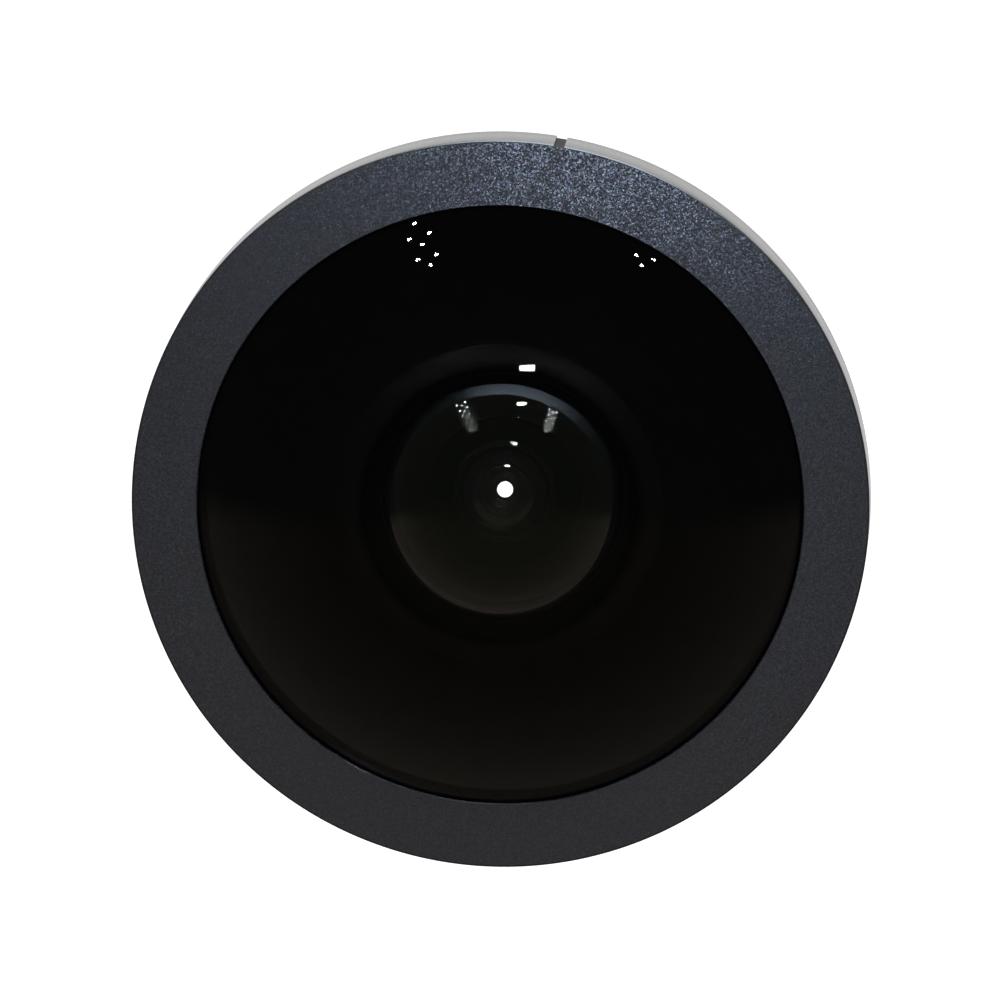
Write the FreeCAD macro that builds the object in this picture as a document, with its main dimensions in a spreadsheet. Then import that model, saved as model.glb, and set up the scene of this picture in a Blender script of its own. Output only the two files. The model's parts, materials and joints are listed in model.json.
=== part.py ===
# Fisheye lens for a surveillance camera, CS mount, fixed iris, manual focus.
# Frame: origin at the middle of the mount's flange seat, +Z up, the scene in front of the glass at -Y.
# Heights below are measured forward from the flange seat along the optical axis, in millimetres.
# Depths are measured back from the crown of the front lens.
# Each piece is drawn upright: its own z runs forward along the optical axis, its own y points up.
import FreeCAD, Part
import math
import os
from types import SimpleNamespace

import Sketcher

doc = FreeCAD.newDocument("FisheyeLens")
sheet = doc.addObject("Spreadsheet::Sheet", "Sizes")
pieces = []
emptyCuts = []


# A size knows its value now and the words that bind a constraint to the sheet.
class Size:
    def __init__(self, value, words):
        self.value = value
        self.words = words

    def __add__(self, other):
        other = asSize(other)
        return Size(self.value + other.value, f"({self.words} + {other.words})")

    def __sub__(self, other):
        other = asSize(other)
        return Size(self.value - other.value, f"({self.words} - {other.words})")

    def __mul__(self, other):
        other = asSize(other)
        return Size(self.value * other.value, f"({self.words} * {other.words})")

    def __truediv__(self, other):
        other = asSize(other)
        return Size(self.value / other.value, f"({self.words} / {other.words})")


def asSize(number):
    return number if isinstance(number, Size) else Size(float(number), str(number))


def root(size):
    return Size(math.sqrt(size.value), f"sqrt({size.words})")


# How far a sphere falls back between its crown and a given radius.
def sag(curve, radius):
    return curve - root(curve * curve - radius * radius)


# The radius at which a sphere has fallen back by a given depth.
def chordRadius(curve, depth):
    return root(curve * curve - (curve - depth) * (curve - depth))


driving = {
    # fits and clearances
    "runningGap": 0.05,
    "threadGap": 0.03,
    "seatGap": 0.02,
    "lensGap": 0.04,
    "partingGap": 0.15,
    "smallBevel": 0.2,

    # mount: one inch thread, 32 turns to the inch, guide bore, sleeve, hub and the flange that seats
    "threadRadius": 12.65,
    "threadPitch": 0.794,
    "threadDepth": 0.45,
    "threadMouth": 0.5,
    "threadRoot": 0.1,
    "threadLength": 4.0,
    "threadRunout": 0.5,
    "guideBoreRadius": 10.6,
    "sleeveWall": 1.75,
    "sleeveLength": 4.4,
    "hubStep": 1.6,
    "hubLength": 5.0,
    "flangeStep": 1.55,
    "flangeThickness": 2.6,

    # nut that holds the focus ring on its hub
    "nutClearance": 0.3,
    "nutThickness": 1.2,
    "spannerSlotWidth": 1.2,
    "spannerSlotDepth": 0.5,

    # focus: a quarter turn in all moves the optics one millimetre along three guide slots
    "focusLead": 4.0,
    "focusTurn": 45.0,
    "travelSlack": 0.3,
    "guideScrewCount": 3,
    "guideScrewRadius": 0.8,
    "guidePinRadius": 0.5,
    "guidePinReach": 1.0,
    "guideSlotDepth": 1.2,
    "guideSlotSide": 0.03,
    "driverSlotWidth": 0.3,
    "driverSlotDepth": 0.35,

    # knurled focus ring
    "ringStep": 1.6,
    "ringOverhang": 1.3,
    "bandWall": 1.15,
    "gripStep": 0.7,
    "gripLength": 4.9,
    "gripNeckDepth": 0.4,
    "gripNeckLength": 0.5,
    "gripEdge": 0.4,
    "gripGrooves": 54,
    "gripGrooveWidth": 0.9,
    "gripGrooveDepth": 0.5,
    "markWidth": 0.45,
    "markDepth": 0.2,
    "markLength": 1.8,

    # locking screw on the side of the focus ring, with its brass pad
    "lockScrewRadius": 1.0,
    "lockPadThickness": 0.6,
    "lockHeadRadius": 2.1,
    "lockHeadLength": 2.3,
    "lockHeadStand": 0.35,
    "lockHeadGrooves": 20,
    "lockHeadGrooveWidth": 0.34,
    "lockHeadGrooveDepth": 0.17,
    "lockSlotWidth": 0.5,
    "lockSlotDepth": 0.6,

    # front bezel that screws over the head and holds the front lens down
    "bezelRadius": 21.0,
    "bezelWall": 1.4,
    "bezelLength": 3.7,
    "bezelEdge": 0.18,
    "lipCover": 0.75,
    "lipProud": 0.2,
    "lipDrop": 0.1,
    "lipInnerEdge": 0.06,
    "lipClampInset": 0.1,
    "notchAngle": 9.2,
    "notchWidth": 0.6,
    "notchDepth": 0.15,

    # glass, front to rear: curves, thicknesses and edges
    "crownHeight": 38.08,
    "lens1Thick": 4.43,
    "lens1FrontCurve": 23.0,
    "lens1RearCurve": 8.7,
    "lens1Edge": 1.35,
    "lens2Thick": 1.364,
    "lens2FrontCurve": 51.94,
    "lens2RearCurve": 5.91,
    "lens2Radius": 9.2,
    "lens2HollowMargin": 0.51,
    "spacer23Length": 1.699,
    "spacer23Inset": 0.12,
    "lens3Step": 2.6,
    "lens3Thick": 1.566,
    "lens3FrontCurve": 10.0,
    "lens3RearCurve": 5.62,
    "lens3FrontHollow": 4.8,
    "lens3RearHollow": 4.3,
    "spacer34Length": 1.39,
    "spacerWall": 0.6,
    "lens4Step": 1.2,
    "lens4Thick": 6.385,
    "lens4FrontCurve": 18.97,
    "lens4RearCurve": 11.13,
    "stopSpace": 2.866,
    "stopHoleRadius": 2.194,
    "stopThick": 0.12,
    "stopSpacerLength": 2.748,
    "stopSpacerWall": 0.65,
    "doubletRadius": 3.75,
    "lens5Thick": 3.995,
    "lens5FrontCurve": 27.98,
    "cementMargin": 0.33,
    "lens6Thick": 1.5,
    "lens6RearCurve": 8.07,
    "spacer67Length": 1.512,
    "spacer67Inset": 0.3,
    "lens7Step": 0.65,
    "lens7Thick": 1.872,
    "lens7FrontCurve": 10.43,
    "lens7RearCurve": 47.14,

    # rings that hold the second lens and the rear lens
    "retainer2Lap": 0.4,
    "retainer2Step": 1.25,
    "retainer2Thick": 1.0,
    "retainer2Room": 0.15,
    "rearRetainerLap": 0.5,
    "rearRetainerStep": 1.0,
    "rearRetainerThick": 0.85,

    # barrel that carries the glass
    "rearRimProud": 0.15,
    "neckWall": 2.2,
    "neckLength": 2.87,
    "neckTaper": 0.8,
    "skirtClearance": 0.85,
    "skirtDepthSlack": 0.4,
    "headBaseStep": 0.2,
    "headBaseGap": 0.6,
    "headBaseLength": 1.4,
    "headEdgeStep": 0.4,
    "headEdgeLength": 1.33,
    "headWall": 1.53,
    "rimCover": 0.1,
    "chamberStep": 0.75,
    "chamberTaper": 0.3,
    "tunnelLap": 0.6,
    "stopSeatLap": 0.55,
    "stopSeatWall": 0.4,
    "sealInset": 2.4,
    "sealCord": 0.42,
}

for row, (alias, value) in enumerate(driving.items(), start=1):
    sheet.set(f"A{row}", alias)
    sheet.set(f"B{row}", str(value))
    sheet.setAlias(f"B{row}", alias)
doc.recompute()
dim = SimpleNamespace(**{alias: Size(float(value), f"Sizes.{alias}") for alias, value in driving.items()})
zero = Size(0.0, "0")
fullTurn = 360
leastCut = 1e-4

# radii that follow from the driving sizes, from the mount outwards
threadFloor = dim.threadRadius - dim.threadDepth
sleeveRadius = dim.guideBoreRadius + dim.sleeveWall
hubRadius = sleeveRadius + dim.hubStep
flangeRadius = hubRadius + dim.flangeStep
ringWallRadius = hubRadius + dim.ringStep
nutRadius = ringWallRadius - dim.nutClearance
bandRadius = ringWallRadius + dim.bandWall
gripRadius = bandRadius + dim.gripStep
guideTubeRadius = dim.guideBoreRadius - dim.runningGap
skirtRadius = ringWallRadius - dim.runningGap
skirtWallRadius = sleeveRadius + dim.skirtClearance

# radii that follow from the bezel and the glass
bezelThreadRadius = dim.bezelRadius - dim.bezelWall
headThreadRadius = bezelThreadRadius - dim.threadGap
lens1Radius = headThreadRadius - dim.headWall - dim.lensGap
lipHoleRadius = lens1Radius - dim.lipCover
lens2Hollow = dim.lens2RearCurve - dim.lens2HollowMargin
lens3Radius = lens2Hollow + dim.lens3Step
lens4Radius = lens3Radius - dim.lens4Step
tunnelRadius = lens4Radius - dim.tunnelLap
cementCurve = dim.doubletRadius + dim.cementMargin
spacer67Hole = dim.doubletRadius - dim.spacer67Inset
lens7Radius = dim.doubletRadius + dim.lens7Step
rearRetainerHole = lens7Radius - dim.rearRetainerLap
rearRetainerRadius = lens7Radius + dim.rearRetainerStep
retainer2Hole = dim.lens2Radius - dim.retainer2Lap
retainer2Radius = dim.lens2Radius + dim.retainer2Step
sealRadius = lens1Radius - dim.sealInset
chamberRadius = retainer2Radius + dim.chamberStep
stopSeatRadius = dim.doubletRadius - dim.stopSeatLap
neckRadius = rearRetainerRadius + dim.neckWall
headBaseRadius = gripRadius + dim.headBaseStep
headRadius = dim.bezelRadius - dim.headEdgeStep
lipClampRadius = lens1Radius - dim.lipClampInset

# heights in front of the flange seat
focusTravel = dim.focusLead * dim.focusTurn / fullTurn
hubFront = dim.flangeThickness + dim.hubLength
sleeveFront = hubFront + dim.sleeveLength
nutFront = hubFront + dim.nutThickness + dim.seatGap
guideScrewHeight = (nutFront + sleeveFront) / 2
lockHeight = dim.flangeThickness + dim.hubLength / 2
ringFront = sleeveFront + dim.ringOverhang
headBack = ringFront + focusTravel + dim.headBaseGap
skirtBack = nutFront + focusTravel + dim.travelSlack
skirtRoof = sleeveFront + focusTravel + dim.skirtDepthSlack

# depths behind the crown of the front lens: crowns, backs and seats
lens1Land = sag(dim.lens1FrontCurve, lens1Radius) + dim.lens1Edge
lens1HollowDepth = lens1Land - dim.lens1Thick
lens1Hollow = chordRadius(dim.lens1RearCurve, lens1HollowDepth)
retainer2Back = lens1Land + dim.retainer2Room + dim.retainer2Thick
lens2Crown = retainer2Back - sag(dim.lens2FrontCurve, retainer2Hole)
lens2Seat = lens2Crown + dim.lens2Thick + sag(dim.lens2RearCurve, lens2Hollow)
lens3Face = lens2Seat + dim.spacer23Length
lens3Crown = lens3Face + sag(dim.lens3FrontCurve, dim.lens3FrontHollow)
lens3Seat = lens3Crown + dim.lens3Thick + sag(dim.lens3RearCurve, dim.lens3RearHollow)
lens4Touch = lens3Seat + dim.spacer34Length
lens4Crown = lens4Touch - sag(dim.lens4FrontCurve, lens4Radius - dim.spacerWall)
lens4Back = lens4Crown + dim.lens4Thick
stopDepth = lens4Back + dim.stopSpace
lens5Rim = stopDepth + dim.stopSpacerLength
lens5Crown = lens5Rim + sag(dim.lens5FrontCurve, dim.doubletRadius)
cementDepth = lens5Crown + dim.lens5Thick
lens6Back = cementDepth + dim.lens6Thick
lens6Touch = lens6Back - sag(dim.lens6RearCurve, spacer67Hole)
lens7Touch = lens6Touch + dim.spacer67Length
lens7Crown = lens7Touch - sag(dim.lens7FrontCurve, spacer67Hole)
lens7Back = lens7Crown + dim.lens7Thick
rearRetainerFace = lens7Back - sag(dim.lens7RearCurve, rearRetainerHole) + dim.seatGap
barrelEnd = rearRetainerFace + dim.rearRetainerThick + dim.rearRimProud
lipDepth = sag(dim.lens1FrontCurve, lipHoleRadius) - dim.lipProud
rimDepth = sag(dim.lens1FrontCurve, lens1Radius) - dim.rimCover

# how far a cut's outline runs past the surface it cuts
overrun = asSize(1)


def heightOf(depth):
    return dim.crownHeight - depth


# Corners of an outline: plain, rounded, or leaving along an arc to the next corner.
def corner(x, y):
    return {"x": asSize(x), "y": asSize(y), "round": None, "arc": None}


def rounded(x, y, radius):
    return {"x": asSize(x), "y": asSize(y), "round": radius, "arc": None}


# side +1 bows the edge to the left of its direction, -1 to the right
def arched(x, y, curve, side):
    return {"x": asSize(x), "y": asSize(y), "round": None, "arc": (curve, side)}


def vector(x, y):
    return FreeCAD.Vector(x, y, 0)


def originFeature(body, role):
    for feature in body.Origin.OriginFeatures:
        if feature.Role == role:
            return feature
    raise RuntimeError("no origin feature " + role)


def bindPoint(sketch, geometry, end, spot):
    for axis, other, size in (("DistanceX", -2, spot["x"]), ("DistanceY", -1, spot["y"])):
        if size.value == 0:
            sketch.addConstraint(Sketcher.Constraint("PointOnObject", geometry, end, other))
        elif size.value > 0:
            index = sketch.addConstraint(Sketcher.Constraint(axis, -1, 1, geometry, end, size.value))
            sketch.setExpression(f"Constraints[{index}]", size.words)
        else:
            index = sketch.addConstraint(Sketcher.Constraint(axis, geometry, end, -1, 1, -size.value))
            sketch.setExpression(f"Constraints[{index}]", f"0 - {size.words}")


def bindRadius(sketch, geometry, size):
    index = sketch.addConstraint(Sketcher.Constraint("Radius", geometry, size.value))
    sketch.setExpression(f"Constraints[{index}]", size.words)


# Arc between two points, of the given radius, bowing to one side; gives the arc and its end order.
def arcBetween(start, finish, radius, side):
    middle = (start + finish) * 0.5
    chord = finish - start
    left = vector(-chord.y, chord.x).normalize()
    reach = math.sqrt(max(radius * radius - chord.Length * chord.Length / 4, 0))
    centre = middle - left * reach * side
    circle = Part.Circle(centre, FreeCAD.Vector(0, 0, 1), radius)
    startAngle = math.atan2(start.y - centre.y, start.x - centre.x)
    finishAngle = math.atan2(finish.y - centre.y, finish.x - centre.x)
    if side < 0:
        return Part.ArcOfCircle(circle, startAngle, finishAngle), (1, 2)
    return Part.ArcOfCircle(circle, finishAngle, startAngle), (2, 1)


def startSketch(body, name, plane, height=None, turn=None):
    sketch = body.newObject("Sketcher::SketchObject", name)
    sketch.AttachmentSupport = (originFeature(body, plane), "")
    sketch.MapMode = "FlatFace"
    if height is not None:
        sketch.AttachmentOffset = FreeCAD.Placement(
            FreeCAD.Vector(0, 0, height.value), FreeCAD.Rotation(0, 0, 0))
        sketch.setExpression("AttachmentOffset.Base.z", height.words)
    if turn is not None:
        sketch.setExpression("AttachmentOffset.Rotation.Angle", turn.words)
    return sketch


# A closed outline whose every corner is bound to the sheet.
def drawOutline(sketch, corners):
    count = len(corners)
    places = [vector(spot["x"].value, spot["y"].value) for spot in corners]
    leave = []
    reach = []
    for k, spot in enumerate(corners):
        here = places[k]
        before = (places[k - 1] - here).normalize()
        after = (places[(k + 1) % count] - here).normalize()
        if spot["round"] is None:
            reach.append(here)
            leave.append(here)
            continue
        half = before.getAngle(after) / 2
        back = spot["round"].value / math.tan(half)
        reach.append(here + before * back)
        leave.append(here + after * back)
    edges = []
    for k, spot in enumerate(corners):
        start = leave[k]
        finish = reach[(k + 1) % count]
        if spot["arc"] is None:
            index = sketch.addGeometry(Part.LineSegment(start, finish))
            edges.append((index, 1, 2))
            continue
        curve, side = spot["arc"]
        arc, ends = arcBetween(start, finish, curve.value, side)
        index = sketch.addGeometry(arc)
        edges.append((index, ends[0], ends[1]))
    for k, spot in enumerate(corners):
        last = edges[k - 1]
        this = edges[k]
        if spot["round"] is None:
            sketch.addConstraint(Sketcher.Constraint("Coincident", last[0], last[2], this[0], this[1]))
            bindPoint(sketch, this[0], this[1], spot)
            continue
        turn = (places[k] - places[k - 1]).cross(places[(k + 1) % count] - places[k]).z
        side = 1 if turn < 0 else -1
        arc, ends = arcBetween(reach[k], leave[k], spot["round"].value, side)
        bend = sketch.addGeometry(arc)
        sketch.addConstraint(Sketcher.Constraint("Tangent", last[0], last[2], bend, ends[0]))
        sketch.addConstraint(Sketcher.Constraint("Tangent", bend, ends[1], this[0], this[1]))
        bindRadius(sketch, bend, spot["round"])
        point = sketch.addGeometry(Part.Point(places[k]), True)
        sketch.addConstraint(Sketcher.Constraint("PointOnObject", point, 1, last[0]))
        sketch.addConstraint(Sketcher.Constraint("PointOnObject", point, 1, this[0]))
        bindPoint(sketch, point, 1, spot)
    for k, spot in enumerate(corners):
        if spot["arc"] is not None:
            bindRadius(sketch, edges[k][0], spot["arc"][0])
    return sketch


def addCircle(sketch, x, y, radius):
    circle = Part.Circle(vector(x.value, y.value), FreeCAD.Vector(0, 0, 1), radius.value)
    index = sketch.addGeometry(circle)
    bindPoint(sketch, index, 3, corner(x, y))
    bindRadius(sketch, index, radius)


def box(left, right, low, high):
    return [corner(left, low), corner(right, low), corner(right, high), corner(left, high)]


# A body standing on the optical axis, its z = 0 at the given height.
def startBody(label, height):
    body = doc.addObject("PartDesign::Body", label)
    body.Label = label
    upright = FreeCAD.Rotation(FreeCAD.Vector(1, 0, 0), 90)
    body.Placement = FreeCAD.Placement(FreeCAD.Vector(0, -height.value, 0), upright)
    body.setExpression("Placement.Base.y", f"0 - {height.words}")
    pieces.append(body)
    return body


# A full turn of a sketch about its own upright axis.
def spin(body, sketch):
    turned = body.newObject("PartDesign::Revolution", body.Label + "_turned")
    turned.Profile = sketch
    turned.ReferenceAxis = (sketch, ["V_Axis"])
    turned.Angle = fullTurn
    sketch.Visibility = False
    body.Tip = turned
    doc.recompute()
    return turned


def revolve(body, corners, plane="XZ_Plane"):
    return spin(body, drawOutline(startSketch(body, body.Label + "_outline", plane), corners))


# A cut that must take away more than leastCut cubic millimetres.
def pocket(body, sketch, name, length, flip=False):
    before = body.Shape.Volume
    cut = body.newObject("PartDesign::Pocket", name)
    cut.Profile = sketch
    cut.Length = length.value
    cut.setExpression("Length", length.words)
    cut.Reversed = flip
    sketch.Visibility = False
    body.Tip = cut
    doc.recompute()
    if body.Shape.Volume >= before - leastCut:
        emptyCuts.append(name)
    return cut


def repeatRound(body, originals, name, count, axis="Z_Axis"):
    pattern = body.newObject("PartDesign::PolarPattern", name)
    pattern.Originals = originals
    pattern.Axis = (originFeature(body, axis), [""])
    pattern.Angle = fullTurn
    pattern.Occurrences = int(count.value)
    pattern.setExpression("Occurrences", count.words)
    body.Tip = pattern
    doc.recompute()
    return pattern


# Threaded mount: rear thread, seat flange, bearing hub for the focus ring and guide sleeve.
def makeMountBase():
    body = startBody("mount_base", zero - dim.threadLength)
    seat = dim.threadLength
    flangeFace = seat + dim.flangeThickness
    hubFace = seat + hubFront
    sleeveFace = seat + sleeveFront
    revolve(body, [
        corner(dim.guideBoreRadius + dim.smallBevel, 0),
        corner(threadFloor, 0),
        corner(dim.threadRadius, dim.threadDepth),
        corner(dim.threadRadius, seat),
        corner(flangeRadius - dim.smallBevel, seat),
        corner(flangeRadius, seat + dim.smallBevel),
        rounded(flangeRadius, flangeFace, dim.smallBevel),
        corner(hubRadius, flangeFace),
        corner(hubRadius, hubFace - dim.smallBevel),
        corner(hubRadius - dim.smallBevel, hubFace),
        corner(sleeveRadius, hubFace),
        corner(sleeveRadius, sleeveFace - dim.smallBevel),
        corner(sleeveRadius - dim.smallBevel, sleeveFace),
        corner(dim.guideBoreRadius + dim.smallBevel, sleeveFace),
        corner(dim.guideBoreRadius, sleeveFace - dim.smallBevel),
        corner(dim.guideBoreRadius, dim.smallBevel)])
    cutThread(body)

    hole = startSketch(body, "guide_hole_outline", "XZ_Plane")
    addCircle(hole, zero, seat + guideScrewHeight, dim.guideScrewRadius + dim.threadGap)
    cut = pocket(body, hole, "guide_hole", sleeveRadius + overrun)
    repeatRound(body, [cut], "guide_holes", dim.guideScrewCount)

    mark = startSketch(body, "mount_mark_outline", "XY_Plane", flangeFace)
    drawMark(mark, flangeRadius)
    pocket(body, mark, "mount_mark", dim.flangeThickness)


# One right-handed groove that starts behind the thread and runs out before the flange.
def cutThread(body):
    outside = dim.threadRadius + dim.smallBevel
    slope = (dim.threadMouth - dim.threadRoot) / 2
    start = zero - dim.threadPitch
    tooth = drawOutline(startSketch(body, "thread_outline", "XZ_Plane"), [
        corner(threadFloor, start + slope),
        corner(outside, start),
        corner(outside, start + dim.threadMouth),
        corner(threadFloor, start + slope + dim.threadRoot)])
    length = dim.threadLength + dim.threadPitch - dim.threadRunout - dim.threadMouth
    thread = body.newObject("PartDesign::SubtractiveHelix", "thread")
    thread.Profile = tooth
    thread.ReferenceAxis = (tooth, ["V_Axis"])
    thread.Mode = "pitch-height-angle"
    thread.Pitch = dim.threadPitch.value
    thread.setExpression("Pitch", dim.threadPitch.words)
    thread.Height = length.value
    thread.setExpression("Height", length.words)
    tooth.Visibility = False
    body.Tip = thread
    doc.recompute()


# A short engraved line across the top of a rim.
def drawMark(sketch, rimRadius):
    drawOutline(sketch, box(zero - dim.markWidth / 2, dim.markWidth / 2,
                            rimRadius - dim.markDepth, rimRadius + overrun))


# Two spanner slots across one face of a ring.
def cutSpannerSlots(body, face, outerRadius):
    slots = startSketch(body, body.Label + "_slot_outline", "XY_Plane", face)
    drawOutline(slots, box(zero - outerRadius - overrun, outerRadius + overrun,
                           zero - dim.spannerSlotWidth / 2, dim.spannerSlotWidth / 2))
    pocket(body, slots, body.Label + "_slot", dim.spannerSlotDepth)


# Nut screwed on the sleeve; the focus ring turns behind its flange.
def makeRingNut():
    body = startBody("ring_nut", hubFront + dim.seatGap)
    hole = sleeveRadius + dim.threadGap
    revolve(body, [
        corner(hole, 0),
        corner(nutRadius, 0),
        corner(nutRadius, dim.nutThickness - dim.smallBevel),
        corner(nutRadius - dim.smallBevel, dim.nutThickness),
        corner(hole, dim.nutThickness)])
    cutSpannerSlots(body, dim.nutThickness, nutRadius)


# Grub screws whose pins run in the barrel's guide slots.
def makeGuideScrews():
    body = startBody("guide_screws", guideScrewHeight)
    body.AllowCompound = True
    outer = sleeveRadius - dim.smallBevel
    shoulder = dim.guideBoreRadius + dim.smallBevel
    tip = shoulder - dim.guidePinReach
    screw = revolve(body, [
        corner(0, tip),
        corner(dim.guidePinRadius, tip),
        corner(dim.guidePinRadius, shoulder),
        corner(dim.guideScrewRadius, shoulder),
        corner(dim.guideScrewRadius, outer),
        corner(0, outer)], "XY_Plane")
    slot = startSketch(body, "driver_slot_outline", "XZ_Plane", zero - outer)
    reach = dim.guideScrewRadius + dim.smallBevel
    drawOutline(slot, box(zero - reach, reach, zero - dim.driverSlotWidth / 2, dim.driverSlotWidth / 2))
    cut = pocket(body, slot, "driver_slot", dim.driverSlotDepth, True)
    repeatRound(body, [screw, cut], "screws_round", dim.guideScrewCount)


# Grooves of a straight knurl: one V cut along the rim, repeated round it.
def cutKnurl(body, name, top, length, rimRadius, width, depth, count):
    groove = startSketch(body, name + "_outline", "XY_Plane", top)
    outside = rimRadius + dim.smallBevel
    drawOutline(groove, [
        corner(0, rimRadius - depth),
        corner(width / 2, outside),
        corner(zero - width / 2, outside)])
    cut = pocket(body, groove, name, length)
    repeatRound(body, [cut], name + "s_round", count)


# Knurled focus ring, turning on the hub and driving the barrel's skirt.
def makeFocusRing():
    back = dim.flangeThickness + dim.partingGap
    body = startBody("focus_ring", back)
    total = ringFront - back
    gripStart = total - dim.gripEdge - dim.gripLength
    neckStart = gripStart - dim.gripNeckLength
    neckFloor = bandRadius - dim.gripNeckDepth
    shelf = hubFront - back
    bore = hubRadius + dim.runningGap
    revolve(body, [
        corner(bore, 0),
        rounded(bandRadius, 0, dim.smallBevel),
        corner(bandRadius, neckStart),
        corner(neckFloor, neckStart),
        corner(neckFloor, gripStart),
        corner(gripRadius, gripStart),
        corner(gripRadius, total - dim.gripEdge),
        corner(gripRadius - dim.gripEdge, total),
        corner(ringWallRadius, total),
        corner(ringWallRadius, shelf),
        corner(bore, shelf)])
    cutKnurl(body, "grip_groove", total, total - gripStart, gripRadius,
             dim.gripGrooveWidth, dim.gripGrooveDepth, dim.gripGrooves)

    mark = startSketch(body, "ring_mark_outline", "XY_Plane", neckStart)
    drawMark(mark, bandRadius)
    pocket(body, mark, "ring_mark", dim.markLength)

    hole = startSketch(body, "lock_hole_outline", "YZ_Plane")
    addCircle(hole, zero, lockHeight - back, dim.lockScrewRadius + dim.threadGap)
    pocket(body, hole, "lock_hole", bandRadius + overrun, True)


# A body lying along +X, its z = 0 at the given radius, for the locking screw and its pad.
def startSideBody(label, radius):
    body = doc.addObject("PartDesign::Body", label)
    body.Label = label
    sideways = FreeCAD.Rotation(FreeCAD.Vector(0, 1, 0), 90)
    body.Placement = FreeCAD.Placement(FreeCAD.Vector(radius.value, -lockHeight.value, 0), sideways)
    body.setExpression("Placement.Base.x", radius.words)
    body.setExpression("Placement.Base.y", f"0 - {lockHeight.words}")
    pieces.append(body)
    return body


def makeLockPad():
    body = startSideBody("lock_pad", hubRadius + dim.seatGap)
    padRadius = dim.lockScrewRadius - dim.seatGap
    revolve(body, [
        corner(0, 0),
        corner(padRadius, 0),
        rounded(padRadius, dim.lockPadThickness, dim.smallBevel),
        corner(0, dim.lockPadThickness)])


def makeLockScrew():
    start = hubRadius + dim.lockPadThickness + dim.seatGap * 2
    body = startSideBody("lock_screw", start)
    shankEnd = bandRadius + dim.lockHeadStand - start
    face = shankEnd + dim.lockHeadLength
    revolve(body, [
        corner(0, 0),
        corner(dim.lockScrewRadius - dim.smallBevel, 0),
        corner(dim.lockScrewRadius, dim.smallBevel),
        corner(dim.lockScrewRadius, shankEnd),
        corner(dim.lockHeadRadius - dim.smallBevel, shankEnd),
        corner(dim.lockHeadRadius, shankEnd + dim.smallBevel),
        rounded(dim.lockHeadRadius, face, dim.smallBevel),
        corner(0, face)])
    cutKnurl(body, "lock_groove", face, dim.lockHeadLength, dim.lockHeadRadius,
             dim.lockHeadGrooveWidth, dim.lockHeadGrooveDepth, dim.lockHeadGrooves)
    slot = startSketch(body, "lock_slot_outline", "XY_Plane", face)
    reach = dim.lockHeadRadius + overrun
    drawOutline(slot, box(zero - reach, reach, zero - dim.lockSlotWidth / 2, dim.lockSlotWidth / 2))
    pocket(body, slot, "lock_slot", dim.lockSlotDepth)


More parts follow.
